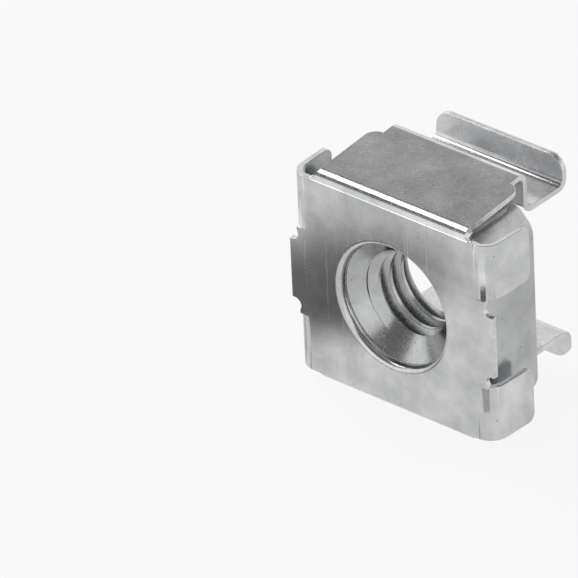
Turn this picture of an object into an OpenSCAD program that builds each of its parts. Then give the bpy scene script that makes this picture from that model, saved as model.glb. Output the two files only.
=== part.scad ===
// Rack cage nut: a square M6 nut held loosely in a folded spring-steel cage.
// Origin: on the screw axis, at the outer face of the cage's front plate.
// +Y runs along the screw axis towards the hooked ears, +Z is up.

/* [Cage sheet] */
// Sheet thickness
sheet = 0.36; // [0.25:0.01:0.6]
// Half width of the front plate at its straight side edges
plate_half_width = 7.36; // [6.5:0.01:8.5]
// Half height of the straight side edges
side_edge_half = 1.95; // [1:0.05:2.5]
// Distance of the relief notches' centres from the middle plane
relief_x = 7.18; // [6.6:0.01:7.3]

/* [Front hole] */
// Inner radius of the rolled front hole
hole_r = 3.8; // [3:0.05:4.5]
// Depth of the rolled rim from the front face
rim_depth = 0.6; // [0.4:0.01:0.9]

/* [Arms] */
// Outer height of the arm where it leaves the front plate
arm_height = 6.8; // [6:0.01:7.5]
// Rise of the arm for each mm of depth
arm_slope = 0.092; // [0:0.001:0.15]
// Half width of the wide part of the arm
arm_half_width = 5.38; // [4.8:0.01:6]
// Depth at which the wide part starts to narrow
shoulder_depth = 4.4; // [3.5:0.05:5]
// Corner radius of the shoulder
shoulder_r = 0.8; // [0.3:0.01:0.82]
// Outer radius of the bend at the front plate
front_bend_r = 0.8; // [0.5:0.01:1.2]
// Fillet radius in the corner between the arm and the flap beside it
arm_fillet_r = 0.45; // [0.2:0.01:0.45]

/* [Ears] */
// Half width of the ear, sized for a 9.5 mm square rack hole
ear_half_width = 4.6; // [4:0.01:4.75]
// Depth of the inward leg's mid-surface; its rear face is the seat for the rack rail
leg_depth = 6.44; // [5.5:0.01:7.5]
// Height of the channel floor's mid-surface
channel_height = 4.78; // [4.2:0.01:5.2]
// Depth of the tip's mid-surface at the channel floor
tip_root_depth = 9.85; // [8.5:0.01:11]
// Depth of the tip's mid-surface at its free edge
tip_end_depth = 9.93; // [8.5:0.01:11]
// Height of the tip's free edge
tip_height = 6.63; // [5.5:0.01:7.5]
// Corner radius of the tip
tip_corner_r = 1.0; // [0.5:0.05:1.6]
// Mid-surface radius of the ridge bend
ridge_bend_r = 0.46; // [0.25:0.01:0.8]
// Mid-surface radius of the channel's first bend
channel_bend_r = 0.62; // [0.3:0.01:0.9]
// Mid-surface radius of the tip bend
tip_bend_r = 0.54; // [0.3:0.01:0.9]

/* [Corner flaps] */
// Distance of the flap's outer face from the middle plane, at its bend
flap_half_width = 7.2; // [6.8:0.01:8]
// Outer radius of the flap bend
flap_bend_r = 1.12; // [0.6:0.01:1.5]
// Outward lean of the flap, in degrees
flap_lean = 2; // [0:0.5:12]
// Depth of the flap's rear edge
flap_depth = 3.45; // [2.5:0.05:4]
// Height of the flap's inner edge
flap_low = 2.85; // [2.5:0.05:4]
// Height of the flap's outer edge
flap_high = 6.35; // [5.8:0.05:6.6]
// Corner radius of the flap
flap_corner_r = 0.55; // [0.2:0.05:0.9]

/* [Nut] */
// Width across the flats of the square nut
nut_width = 12.7; // [11:0.05:12.7]
// Width across the cut corners
nut_corner_width = 16.2; // [14:0.05:17]
// Thickness of the nut
nut_thickness = 4.45; // [3:0.05:4.6]
// Minor radius of the M6 thread
thread_minor_r = 2.5; // [2.4:0.01:2.6]
// Radius at the bottom of the thread's groove
thread_major_r = 3.0; // [2.9:0.01:3.1]
// Rise of the thread in one turn
thread_pitch = 1; // [0.5:0.05:1.5]
// Width of the thread's flat crest
thread_crest = 0.2; // [0.1:0.01:0.3]
// Turn of the thread about its axis, in degrees
thread_start = 35; // [-180:5:180]
// Radius of the front countersink at the nut face
front_sink_r = 3.75; // [3:0.05:4]
// Depth of the front countersink
front_sink_depth = 1.25; // [0.3:0.05:1.6]
// Radius of the rear countersink at the nut face
rear_sink_r = 3.2; // [2.6:0.05:4]
// Depth of the rear countersink
rear_sink_depth = 0.5; // [0.2:0.05:1]

/* [Hidden] */
$fn = 64;
eps = 0.01;
// Steps that draw one bend
bend_steps = 12;
// Slices in one turn of the thread, and half the points round its section
thread_steps = 12;
// How far the groove's section reaches inside the bore
groove_overlap = 0.12;
half_sheet = sheet / 2;
arm_angle = atan(arm_slope);
rim_outer_r = hole_r + sheet;
flap_bend_x = flap_half_width - flap_bend_r;
relief_r = (flap_low - side_edge_half) / 2;
plate_top = arm_height - front_bend_r * (1 - sin(arm_angle));
arm_mid_height = arm_height - half_sheet / cos(arm_angle);
// Length of the flat plate that an arm or a flap overlaps
root = 0.6;
// Corners of the arm's mid-surface, as [depth, height]
arm_points = [
    [half_sheet, plate_top - root],
    [half_sheet, arm_mid_height + arm_slope * half_sheet],
    [leg_depth, arm_mid_height + arm_slope * leg_depth],
    [leg_depth, channel_height],
    [tip_root_depth, channel_height],
    [tip_end_depth, tip_height]
];
// Bend radius at each corner, zero at both free ends
arm_radii = [0, front_bend_r - half_sheet, ridge_bend_r, channel_bend_r, tip_bend_r, 0];
// Corners of the flap's mid-surface, as [across, depth]
flap_corner_x = flap_half_width - half_sheet;
flap_lean_run = (flap_depth + 1) * tan(flap_lean);
flap_points = [
    [flap_bend_x - root, half_sheet],
    [flap_corner_x, half_sheet],
    [flap_corner_x + flap_lean_run, flap_depth + 1]
];
flap_radii = [0, flap_bend_r - half_sheet, 0];

function heading(a, b) = atan2(b[1] - a[1], b[0] - a[0]);
function left_of(angle) = [-sin(angle), cos(angle)];
function turn(points, i) =
    let (raw = heading(points[i], points[i + 1]) - heading(points[i - 1], points[i]))
    raw > 180 ? raw - 360 : (raw < -180 ? raw + 360 : raw);

// Points of the sheet's surface, shift to the left of the mid-surface, around the bend at corner i
function bend_points(points, radii, i, shift) =
    let (
        entry = heading(points[i - 1], points[i]),
        angle = turn(points, i),
        side = angle > 0 ? 1 : -1,
        back = radii[i] * tan(abs(angle) / 2),
        start = points[i] - back * [cos(entry), sin(entry)],
        centre = start + side * radii[i] * left_of(entry),
        reach = radii[i] - side * shift
    )
    [for (k = [0 : bend_steps]) centre - side * reach * left_of(entry + angle * k / bend_steps)];

// One surface of the folded sheet, from its first to its last corner
function sheet_side(points, radii, shift) =
    let (
        last = len(points) - 1,
        first_heading = heading(points[0], points[1]),
        last_heading = heading(points[last - 1], points[last])
    )
    concat(
        [points[0] + shift * left_of(first_heading)],
        [for (i = [1 : last - 1]) for (p = bend_points(points, radii, i, shift)) p],
        [points[last] + shift * left_of(last_heading)]
    );

function reversed(list) = [for (i = [len(list) - 1 : -1 : 0]) list[i]];

// Section through a folded sheet
module sheet_section(points, radii) {
    left = sheet_side(points, radii, half_sheet);
    right = sheet_side(points, radii, -half_sheet);
    polygon(concat(left, reversed(right)));
}

// Half of the arm's outline seen from above: x across, y is depth
module arm_outline_half() {
    corner_x = arm_half_width - shoulder_r;
    end = tip_end_depth + 1;
    translate([0, -1])
        square([arm_half_width, shoulder_depth + 1]);
    translate([0, -1])
        square([ear_half_width, end + 1]);
    translate([0, -1])
        square([arm_half_width + arm_fillet_r, front_bend_r + 1]);
    intersection() {
        translate([corner_x, shoulder_depth])
            circle(shoulder_r);
        translate([0, shoulder_depth - eps])
            square([arm_half_width, shoulder_r + eps]);
    }
}

// Cuts the corner of the tip round, for the right side
module tip_corner_cut() {
    deep = 3 * sheet;
    translate([0, tip_end_depth + deep / 2, 0])
        rotate([90, 0, 0])
            linear_extrude(deep)
                difference() {
                    translate([ear_half_width - tip_corner_r, tip_height - tip_corner_r])
                        square(2 * tip_corner_r);
                    translate([ear_half_width - tip_corner_r, tip_height - tip_corner_r])
                        circle(tip_corner_r);
                }
}

// Cuts the corner between the arm and the flap to its fillet, for the right side
module arm_fillet_cut() {
    translate([arm_half_width, 2 * front_bend_r, flap_high])
        rotate([90, 0, 0])
            linear_extrude(3 * front_bend_r) {
                translate([arm_fillet_r, arm_fillet_r])
                    circle(arm_fillet_r);
                translate([0, arm_fillet_r])
                    square(2 * arm_fillet_r);
            }
}

// Upper arm with its hooked ear
module arm() {
    tall = 2 * arm_height;
    difference() {
        intersection() {
            rotate([90, 0, 90])
                translate([0, 0, -arm_half_width - arm_fillet_r])
                    linear_extrude(2 * (arm_half_width + arm_fillet_r))
                        sheet_section(arm_points, arm_radii);
            linear_extrude(tall)
                for (side = [0, 1])
                    mirror([side, 0])
                        arm_outline_half();
        }
        for (side = [0, 1])
            mirror([side, 0, 0]) {
                tip_corner_cut();
                arm_fillet_cut();
            }
    }
}

// Flap's outline seen from the side: x is depth, y is height
module flap_outline() {
    front = -1;
    straight = flap_depth - flap_corner_r - front;
    tall = flap_high - flap_low;
    translate([front, flap_low])
        square([straight, tall]);
    translate([front, flap_low + flap_corner_r])
        square([flap_depth - front, tall - 2 * flap_corner_r]);
    for (y = [flap_low + flap_corner_r, flap_high - flap_corner_r])
        translate([flap_depth - flap_corner_r, y])
            circle(flap_corner_r);
}

// Upper right corner flap with its bend
module flap() {
    intersection() {
        linear_extrude(flap_high + 1)
            sheet_section(flap_points, flap_radii);
        rotate([90, 0, 90])
            linear_extrude(2 * flap_half_width)
                flap_outline();
    }
}

// Flat outline of the front plate: x across, y up
module plate_outline() {
    relief_y = side_edge_half + relief_r;
    difference() {
        union() {
            square([2 * arm_half_width, 2 * plate_top], center = true);
            square([2 * flap_bend_x, 2 * flap_high], center = true);
            square([2 * relief_x - 1.7 * relief_r, 2 * flap_low], center = true);
            square([2 * relief_x, 2 * relief_y], center = true);
            square([2 * plate_half_width, 2 * side_edge_half], center = true);
        }
        circle(rim_outer_r);
        for (x = [-1, 1], y = [-1, 1])
            translate([x * relief_x, y * relief_y])
                circle(relief_r);
    }
}

// Rolled rim of the front hole: radius outward, depth upward
module rim_profile() {
    translate([hole_r, sheet])
        square([sheet, rim_depth - sheet]);
    intersection() {
        translate([rim_outer_r, sheet])
            circle(sheet);
        translate([hole_r, 0])
            square([sheet + eps, sheet + eps]);
    }
}

module cage() {
    color([0.74, 0.75, 0.77]) {
        rotate([90, 0, 0])
            translate([0, 0, -sheet])
                linear_extrude(sheet)
                    plate_outline();
        rotate([-90, 0, 0])
            rotate_extrude()
                rim_profile();
        for (side = [0, 1])
            mirror([0, 0, side])
                arm();
        for (x = [0, 1], z = [0, 1])
            mirror([x, 0, 0])
                mirror([0, 0, z])
                    flap();
    }
}

// Radius of the groove's section at an angle: inside the bore, up one flank, bottom, down the other
function groove_r(angle) =
    let (
        low_r = thread_minor_r - groove_overlap,
        depth = thread_major_r - low_r,
        turn_of_1mm = 360 / thread_pitch,
        flank = depth * tan(30) * turn_of_1mm,
        inside = (thread_crest - 2 * groove_overlap * tan(30)) * turn_of_1mm,
        past = angle - inside
    )
    low_r + depth * max(0, min(1, past / flank, (360 - angle) / flank));

// Helical groove of the thread: one section that turns about the axis as it rises
module thread_groove() {
    tall = nut_thickness + 2 * eps;
    turns = tall / thread_pitch;
    step = 180 / thread_steps;
    translate([0, 0, -eps])
        rotate([0, 0, thread_start])
            linear_extrude(tall, twist = -360 * turns, slices = ceil(thread_steps * turns))
                polygon([for (a = [0 : step : 360 - step]) groove_r(a) * [cos(a), sin(a)]]);
}

module nut() {
    color([0.7, 0.71, 0.73])
        translate([0, rim_depth, 0])
            rotate([-90, 0, 0])
                difference() {
                    intersection() {
                        translate([-nut_width / 2, -nut_width / 2, 0])
                            cube([nut_width, nut_width, nut_thickness]);
                        rotate([0, 0, 45])
                            translate([-nut_corner_width / 2, -nut_corner_width / 2, 0])
                                cube([nut_corner_width, nut_corner_width, nut_thickness]);
                    }
                    translate([0, 0, -eps])
                        cylinder(h = nut_thickness + 2 * eps, r = thread_minor_r);
                    thread_groove();
                    nut_sink(front_sink_r, front_sink_depth);
                    translate([0, 0, nut_thickness])
                        mirror([0, 0, 1])
                            nut_sink(rear_sink_r, rear_sink_depth);
                }
}

// Conical countersink that opens at height 0 and ends at the thread's minor radius
module nut_sink(face_r, depth) {
    slope = (face_r - thread_minor_r) / depth;
    translate([0, 0, -eps])
        cylinder(h = depth + eps, r1 = face_r + slope * eps, r2 = thread_minor_r);
}

cage();
nut();
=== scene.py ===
import math

import bmesh
import bpy
from mathutils import Matrix, Vector
from mathutils.bvhtree import BVHTree


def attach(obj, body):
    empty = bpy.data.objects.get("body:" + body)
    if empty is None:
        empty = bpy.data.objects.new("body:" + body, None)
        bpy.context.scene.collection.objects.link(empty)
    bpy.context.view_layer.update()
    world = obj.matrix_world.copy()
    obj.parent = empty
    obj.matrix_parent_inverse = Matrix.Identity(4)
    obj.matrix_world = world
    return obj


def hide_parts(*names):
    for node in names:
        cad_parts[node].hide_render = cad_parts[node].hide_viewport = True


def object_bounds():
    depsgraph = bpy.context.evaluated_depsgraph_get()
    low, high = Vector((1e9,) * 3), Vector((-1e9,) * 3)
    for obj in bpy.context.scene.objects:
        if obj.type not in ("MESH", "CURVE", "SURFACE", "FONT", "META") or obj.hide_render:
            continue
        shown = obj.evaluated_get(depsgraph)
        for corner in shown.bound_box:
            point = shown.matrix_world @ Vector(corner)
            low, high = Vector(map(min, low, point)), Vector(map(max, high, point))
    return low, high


MM = 0.001
SHEET = 0.36 * MM
WIDEST_CUT = 3 * MM * MM

# The nut, in millimetres
NUT_FRONT = 0.6
NUT_REAR = 5.05
NUT_WIDTH = 12.7
NUT_CORNER_WIDTH = 16.2
NUT_THICKNESS = NUT_REAR - NUT_FRONT
THREAD_MINOR_R = 2.5
THREAD_MAJOR_R = 3.0
THREAD_PITCH = 1.0
THREAD_CREST_AT = 0.46

# The studio: sines of the heights where the white sweep starts and ends to fade
SWEEP_LOW = 0.56
SWEEP_HIGH = 0.64
SWEEP_COLOUR = (1.0, 1.0, 1.0, 1)
ROOM_COLOUR = (0.15, 0.15, 0.154, 1)
# What the metal mirrors of the floor: a pale tone with a painted reflection at the left, a soft dark
# patch that only glossy rays see
FLOOR_TONE = 0.8
PAINTED_REFLECTION_TONE = 0.14
PAINTED_REFLECTION_PLACE = (-0.0122, -0.0093, 0)
PAINTED_REFLECTION_R = 0.0062

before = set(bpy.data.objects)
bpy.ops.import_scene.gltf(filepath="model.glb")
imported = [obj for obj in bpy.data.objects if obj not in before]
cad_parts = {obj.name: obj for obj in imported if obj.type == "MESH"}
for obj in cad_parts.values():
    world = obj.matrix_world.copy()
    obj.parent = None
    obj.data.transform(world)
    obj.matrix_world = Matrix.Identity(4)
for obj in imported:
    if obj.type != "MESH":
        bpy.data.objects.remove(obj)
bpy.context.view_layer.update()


# ---------------------------------------------------------------- small helpers

def deselect_everything():
    if bpy.context.mode != "OBJECT":
        bpy.ops.object.mode_set(mode="OBJECT")
    bpy.ops.object.select_all(action="DESELECT")


def make_active(piece):
    deselect_everything()
    piece.select_set(True)
    bpy.context.view_layer.objects.active = piece


def named(name):
    """Names the primitive that was just added."""
    piece = bpy.context.object
    piece.name = name
    piece.data.name = name
    return piece


def apply_modifier(piece, kind, **settings):
    make_active(piece)
    modifier = piece.modifiers.new(kind.title(), kind)
    for name, value in settings.items():
        setattr(modifier, name, value)
    bpy.ops.object.modifier_apply(modifier=modifier.name)


def settle(piece):
    """Puts the piece's place into its mesh, and its object at the origin."""
    make_active(piece)
    bpy.ops.object.transform_apply(location=True, rotation=True, scale=True)


def select_edges(piece, wanted):
    """Selects in edit mode the edges whose two ends and faces pass the test."""
    make_active(piece)
    bpy.ops.object.mode_set(mode="EDIT")
    bpy.ops.mesh.select_mode(type="EDGE")
    bpy.ops.mesh.select_all(action="DESELECT")
    mesh = bmesh.from_edit_mesh(piece.data)
    for edge in mesh.edges:
        if wanted(edge):
            edge.select_set(True)
    bmesh.update_edit_mesh(piece.data)


# ---------------------------------------------------------------- the folded cage

def copy_of_node(node, name):
    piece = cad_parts[node].copy()
    piece.data = piece.data.copy()
    piece.name = name
    piece.data.name = name
    piece.parent = None
    for key in list(piece.keys()):
        del piece[key]
    bpy.context.scene.collection.objects.link(piece)
    return piece


def sheared_faces(piece):
    """Faces cut through the sheet: straight in from them there is more steel than one thickness."""
    mesh = bmesh.new()
    mesh.from_mesh(piece.data)
    mesh.faces.ensure_lookup_table()
    tree = BVHTree.FromBMesh(mesh)
    cut = []
    for face in mesh.faces:
        middle = face.calc_center_median()
        places = [middle] + [middle.lerp(vertex.co, 0.5) for vertex in face.verts]
        hits = [tree.ray_cast(p - face.normal * 1e-6, -face.normal, 0.05)[3] for p in places]
        if min(hit or 0 for hit in hits) > 1.35 * SHEET and face.calc_area() < WIDEST_CUT:
            cut.append(face.index)
    mesh.free()
    return cut


def round_cut_edges(cage):
    """Breaks the sharp cut edges of the sheet, apart from the tight corners where bends meet a notch."""
    tight = [(5.45, 6.45), (5.83, 6.35), (6.75, 2.85)]

    def is_tight(point):
        across, high = abs(point.x) / MM, abs(point.z) / MM
        return any(math.hypot(across - x, high - z) < 0.33 for x, z in tight) and point.y < 0.9 * MM

    mesh = bmesh.new()
    mesh.from_mesh(cage.data)
    weights = mesh.edges.layers.float.new("bevel_weight_edge")
    for edge in mesh.edges:
        sharp = edge.calc_face_angle(0) > math.radians(50)
        near = any(is_tight(v.co) for v in edge.verts)
        edge[weights] = 1.0 if sharp and not near else 0.0
    mesh.to_mesh(cage.data)
    mesh.free()
    apply_modifier(
        cage, "BEVEL", width=0.045 * MM, segments=3, limit_method="WEIGHT",
        use_clamp_overlap=False, material=-1,
    )
    for vertex in cage.data.vertices:
        vertex.co.y = max(vertex.co.y, 0)


def make_cage():
    cage = copy_of_node("cage", "folded_cage")
    make_active(cage)
    bpy.ops.object.mode_set(mode="EDIT")
    bpy.ops.mesh.select_all(action="SELECT")
    bpy.ops.mesh.remove_doubles(threshold=0.018 * MM)
    bpy.ops.mesh.dissolve_limited(angle_limit=math.radians(0.6))
    bpy.ops.object.mode_set(mode="OBJECT")
    cage.data.materials.clear()
    cage.data.materials.append(SHEET_ZINC)
    cage.data.materials.append(SHEARED_ZINC)
    for index in sheared_faces(cage):
        cage.data.polygons[index].material_index = 1
    round_cut_edges(cage)
    make_active(cage)
    bpy.ops.object.shade_smooth_by_angle(angle=math.radians(38))
    apply_modifier(cage, "WEIGHTED_NORMAL", keep_sharp=True, weight=80)
    return cage


# ---------------------------------------------------------------- the square nut

def make_tap():
    """The cutter for the bore: one thread turn, screwed along the axis and closed at both ends."""
    flank = (THREAD_MAJOR_R - THREAD_MINOR_R) * math.tan(math.radians(30))
    crest = 0.2
    root = THREAD_PITCH - crest - 2 * flank
    turn = [
        (THREAD_MINOR_R, 0),
        (THREAD_MINOR_R, crest),
        (THREAD_MINOR_R + 0.06, crest + 0.02),
        (THREAD_MAJOR_R - 0.06, crest + flank),
        (THREAD_MAJOR_R, crest + flank + 0.05),
        (THREAD_MAJOR_R, crest + flank + root - 0.05),
        (THREAD_MAJOR_R - 0.06, crest + flank + root),
        (THREAD_MINOR_R + 0.06, THREAD_PITCH - 0.02),
        (THREAD_MINOR_R, THREAD_PITCH),
    ]
    mesh = bpy.data.meshes.new("tap")
    points = [(r * MM, 0, y * MM) for r, y in turn]
    mesh.from_pydata(points, [(i, i + 1) for i in range(len(points) - 1)], [])
    tap = bpy.data.objects.new("tap", mesh)
    bpy.context.scene.collection.objects.link(tap)
    apply_modifier(
        tap, "SCREW", axis="Z", screw_offset=THREAD_PITCH * MM, iterations=8,
        steps=96, render_steps=96, use_merge_vertices=True, merge_threshold=1e-6,
        use_smooth_shade=True,
    )
    make_active(tap)
    bpy.ops.object.mode_set(mode="EDIT")
    bpy.ops.mesh.select_all(action="SELECT")
    bpy.ops.mesh.remove_doubles(threshold=2e-6)
    for end in (0, 1):
        mesh = bmesh.from_edit_mesh(tap.data)
        bpy.ops.mesh.select_all(action="DESELECT")
        rims = [e for e in mesh.edges if e.is_boundary]
        middle = sum((e.verts[0].co.z for e in rims), 0.0) / max(1, len(rims))
        for e in rims:
            if (e.verts[0].co.z + e.verts[1].co.z) / 2 < middle or end == 1:
                e.select_set(True)
        bmesh.update_edit_mesh(tap.data)
        bpy.ops.mesh.extrude_region_move()
        bpy.ops.mesh.merge(type="CENTER")
    bpy.ops.mesh.select_all(action="SELECT")
    bpy.ops.mesh.normals_make_consistent(inside=False)
    bpy.ops.object.mode_set(mode="OBJECT")
    tap.rotation_euler = (math.radians(-90), 0, 0)
    tap.location = (0, (THREAD_CREST_AT - crest / 2 - 2 * THREAD_PITCH) * MM, 0)
    settle(tap)
    return tap


def make_sink(name, face_y, direction, face_r, depth):
    """A conical cutter for one end of the bore, standing out past the nut's face."""
    spare = 0.4
    slope = (face_r - (THREAD_MINOR_R - 0.3)) / (depth + 0.3)
    tip_r = THREAD_MINOR_R - 0.3
    height = depth + 0.3 + spare
    bpy.ops.mesh.primitive_cone_add(
        vertices=128, radius1=(face_r + slope * spare) * MM, radius2=tip_r * MM,
        depth=height * MM, end_fill_type="NGON",
        location=(0, (face_y + direction * (depth + 0.3 - height / 2)) * MM, 0),
        rotation=(math.radians(-90 * direction), 0, 0),
    )
    sink = named(name)
    settle(sink)
    return sink


def cut_away(piece, cutter):
    apply_modifier(piece, "BOOLEAN", operation="DIFFERENCE", solver="EXACT", object=cutter)
    bpy.data.objects.remove(cutter)


def make_nut():
    bpy.ops.mesh.primitive_cube_add(
        size=1, location=(0, (NUT_FRONT + NUT_THICKNESS / 2) * MM, 0),
        scale=(NUT_WIDTH * MM, NUT_THICKNESS * MM, NUT_WIDTH * MM),
    )
    nut = named("square_nut")
    settle(nut)
    corner = (math.sqrt(2) * NUT_WIDTH - NUT_CORNER_WIDTH) / math.sqrt(2)
    select_edges(nut, lambda e: abs(e.verts[0].co.y - e.verts[1].co.y) > MM)
    bpy.ops.mesh.bevel(offset=corner * MM, offset_type="OFFSET", segments=1)
    bpy.ops.object.mode_set(mode="OBJECT")
    select_edges(nut, lambda e: abs(e.verts[0].co.y - e.verts[1].co.y) > MM)
    bpy.ops.mesh.bevel(offset=0.5 * MM, offset_type="OFFSET", segments=5)
    bpy.ops.object.mode_set(mode="OBJECT")
    select_edges(nut, lambda e: abs(e.verts[0].co.y - e.verts[1].co.y) < 1e-7)
    bpy.ops.mesh.bevel(offset=0.16 * MM, offset_type="OFFSET", segments=4)
    bpy.ops.object.mode_set(mode="OBJECT")
    cut_away(nut, make_sink("front_sink", NUT_FRONT, 1, 3.75, 1.25))
    cut_away(nut, make_sink("rear_sink", NUT_REAR, -1, 3.2, 0.5))
    cut_away(nut, make_tap())
    nut.data.materials.clear()
    nut.data.materials.append(NUT_ZINC)
    make_active(nut)
    bpy.ops.object.shade_smooth_by_angle(angle=math.radians(32))
    return nut


# ---------------------------------------------------------------- materials

class Graph:
    """Short hand for placing and joining nodes."""

    def __init__(self, tree):
        self.nodes = tree.nodes
        self.links = tree.links

    def add(self, kind, **settings):
        node = self.nodes.new(kind)
        inputs = settings.pop("inputs", {})
        for name, value in settings.items():
            setattr(node, name, value)
        for name, value in inputs.items():
            node.inputs[name].default_value = value
        return node

    def join(self, output, socket):
        self.links.new(output, socket)


def make_mottle_group():
    """Cloudy zinc: large soft clouds with finer speckle, as a value from 0 to 1."""
    tree = bpy.data.node_groups.new("zinc_clouds", "ShaderNodeTree")
    face = tree.interface
    face.new_socket("Vector", in_out="INPUT", socket_type="NodeSocketVector")
    face.new_socket("Cloud Size", in_out="INPUT", socket_type="NodeSocketFloat")
    face.new_socket("Speckle Size", in_out="INPUT", socket_type="NodeSocketFloat")
    face.new_socket("Clouds", in_out="OUTPUT", socket_type="NodeSocketFloat")
    face.new_socket("Speckle", in_out="OUTPUT", socket_type="NodeSocketFloat")
    g = Graph(tree)
    start = g.add("NodeGroupInput")
    end = g.add("NodeGroupOutput")
    clouds = g.add("ShaderNodeTexNoise", inputs={"Detail": 5.0, "Roughness": 0.6})
    speckle = g.add("ShaderNodeTexNoise", inputs={"Detail": 3.0, "Roughness": 0.65})
    g.join(start.outputs["Vector"], clouds.inputs["Vector"])
    g.join(start.outputs["Cloud Size"], clouds.inputs["Scale"])
    g.join(start.outputs["Vector"], speckle.inputs["Vector"])
    g.join(start.outputs["Speckle Size"], speckle.inputs["Scale"])
    g.join(clouds.outputs["Fac"], end.inputs["Clouds"])
    g.join(speckle.outputs["Fac"], end.inputs["Speckle"])
    return tree


def make_scratch_group():
    """Fine straight scratches in two directions, as a mask."""
    tree = bpy.data.node_groups.new("fine_scratches", "ShaderNodeTree")
    face = tree.interface
    face.new_socket("Vector", in_out="INPUT", socket_type="NodeSocketVector")
    face.new_socket("Amount", in_out="INPUT", socket_type="NodeSocketFloat")
    face.new_socket("Mask", in_out="OUTPUT", socket_type="NodeSocketFloat")
    g = Graph(tree)
    start = g.add("NodeGroupInput")
    end = g.add("NodeGroupOutput")
    found = None
    for turn, stretch in ((23, 60), (-41, 75), (78, 50)):
        place = g.add("ShaderNodeMapping")
        place.inputs["Rotation"].default_value = [math.radians(turn * part) for part in (1, 0.7, 1.3)]
        place.inputs["Scale"].default_value = (6500, 6500, stretch)
        noise = g.add("ShaderNodeTexNoise", inputs={"Scale": 1.0, "Detail": 1.0, "Roughness": 0.4})
        thin = g.add("ShaderNodeMapRange", inputs={"From Min": 0.7, "From Max": 0.78})
        g.join(start.outputs["Vector"], place.inputs["Vector"])
        g.join(place.outputs["Vector"], noise.inputs["Vector"])
        g.join(noise.outputs["Fac"], thin.inputs["Value"])
        if found is None:
            found = thin.outputs["Result"]
        else:
            both = g.add("ShaderNodeMath", operation="MAXIMUM")
            g.join(found, both.inputs[0])
            g.join(thin.outputs["Result"], both.inputs[1])
            found = both.outputs["Value"]
    scaled = g.add("ShaderNodeMath", operation="MULTIPLY")
    g.join(found, scaled.inputs[0])
    g.join(start.outputs["Amount"], scaled.inputs[1])
    g.join(scaled.outputs["Value"], end.inputs["Mask"])
    return tree


def make_zinc(name, bright, dull, smooth, rough, cloud_size, bump, scratches):
    """Bright zinc plate with clouds, specks, scratches and a slightly uneven face."""
    material = bpy.data.materials.new(name)
    material.use_nodes = True
    g = Graph(material.node_tree)
    g.nodes.clear()
    output = g.add("ShaderNodeOutputMaterial")
    metal = g.add("ShaderNodeBsdfPrincipled", inputs={"Metallic": 1.0})
    g.join(metal.outputs["BSDF"], output.inputs["Surface"])
    place = g.add("ShaderNodeTexCoord")
    mottle = g.add("ShaderNodeGroup", node_tree=ZINC_CLOUDS)
    mottle.inputs["Cloud Size"].default_value = cloud_size
    mottle.inputs["Speckle Size"].default_value = 9000
    g.join(place.outputs["Object"], mottle.inputs["Vector"])
    scratch = g.add("ShaderNodeGroup", node_tree=FINE_SCRATCHES)
    scratch.inputs["Amount"].default_value = scratches
    g.join(place.outputs["Object"], scratch.inputs["Vector"])

    colour = g.add("ShaderNodeMix", data_type="RGBA")
    colour.inputs["A"].default_value = dull
    colour.inputs["B"].default_value = bright
    spread = g.add("ShaderNodeMapRange", inputs={"From Min": 0.32, "From Max": 0.68})
    g.join(mottle.outputs["Clouds"], spread.inputs["Value"])
    g.join(spread.outputs["Result"], colour.inputs["Factor"])

    specks = g.add("ShaderNodeTexVoronoi", inputs={"Scale": 1500.0, "Randomness": 1.0})
    speck_size = g.add("ShaderNodeMapRange", inputs={
        "From Min": 0.05, "From Max": 0.11, "To Min": 1.0, "To Max": 0.0,
    })
    some = g.add("ShaderNodeTexNoise", inputs={"Scale": 520.0, "Detail": 2.0})
    only_some = g.add("ShaderNodeMapRange", inputs={"From Min": 0.54, "From Max": 0.6})
    speck_mask = g.add("ShaderNodeMath", operation="MULTIPLY")
    g.join(place.outputs["Object"], specks.inputs["Vector"])
    g.join(place.outputs["Object"], some.inputs["Vector"])
    g.join(specks.outputs["Distance"], speck_size.inputs["Value"])
    g.join(some.outputs["Fac"], only_some.inputs["Value"])
    g.join(speck_size.outputs["Result"], speck_mask.inputs[0])
    g.join(only_some.outputs["Result"], speck_mask.inputs[1])
    dirty = g.add("ShaderNodeMix", data_type="RGBA")
    dirty.inputs["B"].default_value = SPECK_COLOUR
    part = g.add("ShaderNodeMath", operation="MULTIPLY", inputs={1: 0.7})
    g.join(speck_mask.outputs["Value"], part.inputs[0])
    g.join(part.outputs["Value"], dirty.inputs["Factor"])
    g.join(colour.outputs["Result"], dirty.inputs["A"])
    g.join(dirty.outputs["Result"], metal.inputs["Base Color"])

    roughness = g.add("ShaderNodeMapRange", inputs={
        "From Min": 0.3, "From Max": 0.7, "To Min": smooth, "To Max": rough,
    })
    rougher = g.add("ShaderNodeMath", operation="MULTIPLY_ADD", inputs={1: 0.12})
    g.join(mottle.outputs["Speckle"], roughness.inputs["Value"])
    g.join(scratch.outputs["Mask"], rougher.inputs[0])
    g.join(roughness.outputs["Result"], rougher.inputs[2])
    g.join(rougher.outputs["Value"], metal.inputs["Roughness"])

    height = g.add("ShaderNodeMath", operation="MULTIPLY_ADD", inputs={1: 0.25})
    g.join(mottle.outputs["Speckle"], height.inputs[0])
    g.join(mottle.outputs["Clouds"], height.inputs[2])
    scored = g.add("ShaderNodeMath", operation="MULTIPLY_ADD", inputs={1: -0.35})
    g.join(scratch.outputs["Mask"], scored.inputs[0])
    g.join(height.outputs["Value"], scored.inputs[2])
    relief = g.add("ShaderNodeBump", inputs={"Strength": 1.0, "Distance": bump * MM})
    g.join(scored.outputs["Value"], relief.inputs["Height"])
    g.join(relief.outputs["Normal"], metal.inputs["Normal"])
    return material


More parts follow.
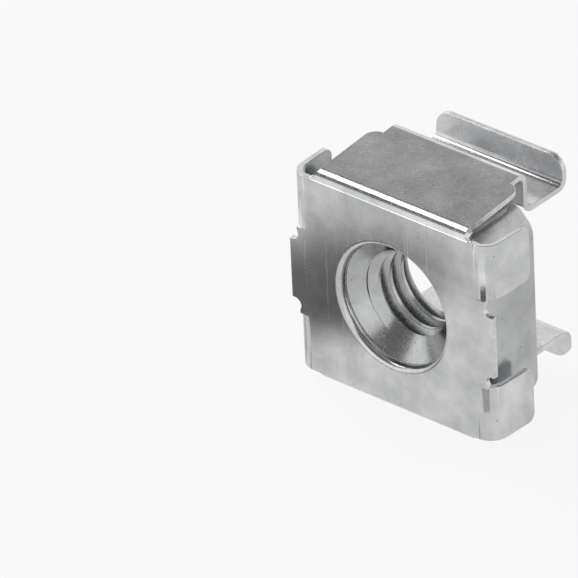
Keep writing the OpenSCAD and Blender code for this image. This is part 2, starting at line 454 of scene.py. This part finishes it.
SPECK_COLOUR = (0.16, 0.16, 0.16, 1)
ZINC_CLOUDS = make_mottle_group()
FINE_SCRATCHES = make_scratch_group()
SHEET_ZINC = make_zinc(
    "bright_zinc_sheet", bright=(0.78, 0.785, 0.79, 1), dull=(0.54, 0.545, 0.55, 1),
    smooth=0.14, rough=0.26, cloud_size=420, bump=0.004, scratches=0.8,
)
SHEARED_ZINC = make_zinc(
    "sheared_zinc_edge", bright=(0.82, 0.825, 0.83, 1), dull=(0.6, 0.605, 0.61, 1),
    smooth=0.24, rough=0.42, cloud_size=2600, bump=0.03, scratches=1.0,
)
NUT_ZINC = make_zinc(
    "bright_zinc_nut", bright=(0.6, 0.605, 0.61, 1), dull=(0.42, 0.425, 0.43, 1),
    smooth=0.13, rough=0.28, cloud_size=420, bump=0.006, scratches=0.7,
)

cage = make_cage()
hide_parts("cage")
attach(cage, "root")

nut = make_nut()
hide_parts("nut")
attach(nut, "root")


# ---------------------------------------------------------------- floor, light and camera

def make_floor():
    low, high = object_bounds()
    bpy.ops.mesh.primitive_plane_add(size=3.0, location=(0, 0, low.z))
    floor = named("floor")
    material = bpy.data.materials.new("pale_floor")
    material.use_nodes = True
    g = Graph(material.node_tree)
    g.nodes.clear()
    output = g.add("ShaderNodeOutputMaterial")
    paint = g.add("ShaderNodeBsdfDiffuse", inputs={"Color": (0.86, 0.86, 0.86, 1)})
    glow = g.add("ShaderNodeEmission", inputs={"Color": (1, 1, 1, 1), "Strength": 1.0})
    path = g.add("ShaderNodeLightPath")
    place = g.add("ShaderNodeTexCoord")
    # Painted reflection: a soft dark patch at the left of the floor, emitted only for glossy rays, so
    # the metal mirrors a painted darker tone there
    painted_patch_distance = g.add("ShaderNodeVectorMath", operation="DISTANCE")
    painted_patch_distance.inputs[1].default_value = PAINTED_REFLECTION_PLACE
    shade = g.add("ShaderNodeMapRange", inputs={
        "From Min": PAINTED_REFLECTION_R * 0.6, "From Max": PAINTED_REFLECTION_R * 1.3, "To Min": PAINTED_REFLECTION_TONE, "To Max": FLOOR_TONE,
    })
    shade.interpolation_type = "SMOOTHSTEP"
    painted_reflection = g.add("ShaderNodeEmission", inputs={"Strength": 1.0})
    seen_in_metal = g.add("ShaderNodeMixShader")
    camera_share = g.add("ShaderNodeMath", operation="MULTIPLY", inputs={1: 0.88})
    seen = g.add("ShaderNodeMixShader")
    g.join(place.outputs["Object"], painted_patch_distance.inputs[0])
    g.join(painted_patch_distance.outputs["Value"], shade.inputs["Value"])
    g.join(shade.outputs["Result"], painted_reflection.inputs["Color"])
    g.join(path.outputs["Is Glossy Ray"], seen_in_metal.inputs["Fac"])
    g.join(paint.outputs["BSDF"], seen_in_metal.inputs[1])
    g.join(painted_reflection.outputs["Emission"], seen_in_metal.inputs[2])
    g.join(path.outputs["Is Camera Ray"], camera_share.inputs[0])
    g.join(camera_share.outputs["Value"], seen.inputs["Fac"])
    g.join(seen_in_metal.outputs["Shader"], seen.inputs[1])
    g.join(glow.outputs["Emission"], seen.inputs[2])
    g.join(seen.outputs["Shader"], output.inputs["Surface"])
    floor.data.materials.append(material)
    return floor


def make_world():
    """A studio: white sweep low behind, dim room above it. The camera sees plain white."""
    world = bpy.data.worlds.new("studio")
    bpy.context.scene.world = world
    world.use_nodes = True
    g = Graph(world.node_tree)
    g.nodes.clear()
    output = g.add("ShaderNodeOutputWorld")
    room = g.add("ShaderNodeBackground", inputs={"Strength": 1.0})
    place = g.add("ShaderNodeTexCoord")
    parts = g.add("ShaderNodeSeparateXYZ")
    height = g.add("ShaderNodeMapRange", inputs={
        "From Min": SWEEP_LOW, "From Max": SWEEP_HIGH, "To Min": 1.0, "To Max": 0.0,
    })
    height.interpolation_type = "SMOOTHSTEP"
    tone = g.add("ShaderNodeMix", data_type="RGBA")
    tone.inputs["A"].default_value = ROOM_COLOUR
    tone.inputs["B"].default_value = SWEEP_COLOUR
    white = g.add("ShaderNodeBackground", inputs={"Color": (1, 1, 1, 1), "Strength": 1.0})
    path = g.add("ShaderNodeLightPath")
    both = g.add("ShaderNodeMixShader")
    g.join(place.outputs["Generated"], parts.inputs["Vector"])
    g.join(parts.outputs["Z"], height.inputs["Value"])
    g.join(height.outputs["Result"], tone.inputs["Factor"])
    g.join(tone.outputs["Result"], room.inputs["Color"])
    g.join(path.outputs["Is Camera Ray"], both.inputs["Fac"])
    g.join(room.outputs["Background"], both.inputs[1])
    g.join(white.outputs["Background"], both.inputs[2])
    g.join(both.outputs["Shader"], output.inputs["Surface"])


def make_lamp(name, direction, distance, size, power):
    data = bpy.data.lights.new(name, "AREA")
    data.shape = "SQUARE"
    data.size = size
    data.energy = power
    lamp = bpy.data.objects.new(name, data)
    bpy.context.scene.collection.objects.link(lamp)
    aim = Vector(direction).normalized()
    lamp.location = aim * distance
    lamp.rotation_mode = "QUATERNION"
    lamp.rotation_quaternion = aim.to_track_quat("Z", "Y")
    return lamp


def make_camera():
    azimuth = math.radians(41.83)
    elevation = math.radians(31.57)
    roll = math.radians(-2.70)
    pixels_per_mm = 17.938
    distance = 600.0
    middle = 289.0
    origin_at = (391.3, 307.8)
    back = Vector((
        math.sin(azimuth) * math.cos(elevation),
        -math.cos(azimuth) * math.cos(elevation),
        math.sin(elevation),
    ))
    level = Vector((math.cos(azimuth), math.sin(azimuth), 0))
    rise = back.cross(level)
    right = math.cos(roll) * level + math.sin(roll) * rise
    up = -math.sin(roll) * level + math.cos(roll) * rise
    aside = (middle - origin_at[0]) / pixels_per_mm
    above = (origin_at[1] - middle) / pixels_per_mm
    data = bpy.data.cameras.new("camera")
    data.sensor_width = 36.0
    data.lens = pixels_per_mm * distance * 36.0 / 578.0
    data.clip_start = 0.01
    data.clip_end = 10.0
    camera = bpy.data.objects.new("camera", data)
    bpy.context.scene.collection.objects.link(camera)
    turn = Matrix((right, up, back)).transposed()
    camera.rotation_mode = "QUATERNION"
    camera.rotation_quaternion = turn.to_quaternion()
    camera.location = (back * distance + right * aside + up * above) * MM
    bpy.context.scene.camera = camera


deselect_everything()
make_floor()
make_world()
make_lamp("overhead", (-0.6, 0.05, 0.78), 0.6, 0.26, 0.8)
make_camera()
bpy.context.scene.view_settings.view_transform = "Standard"
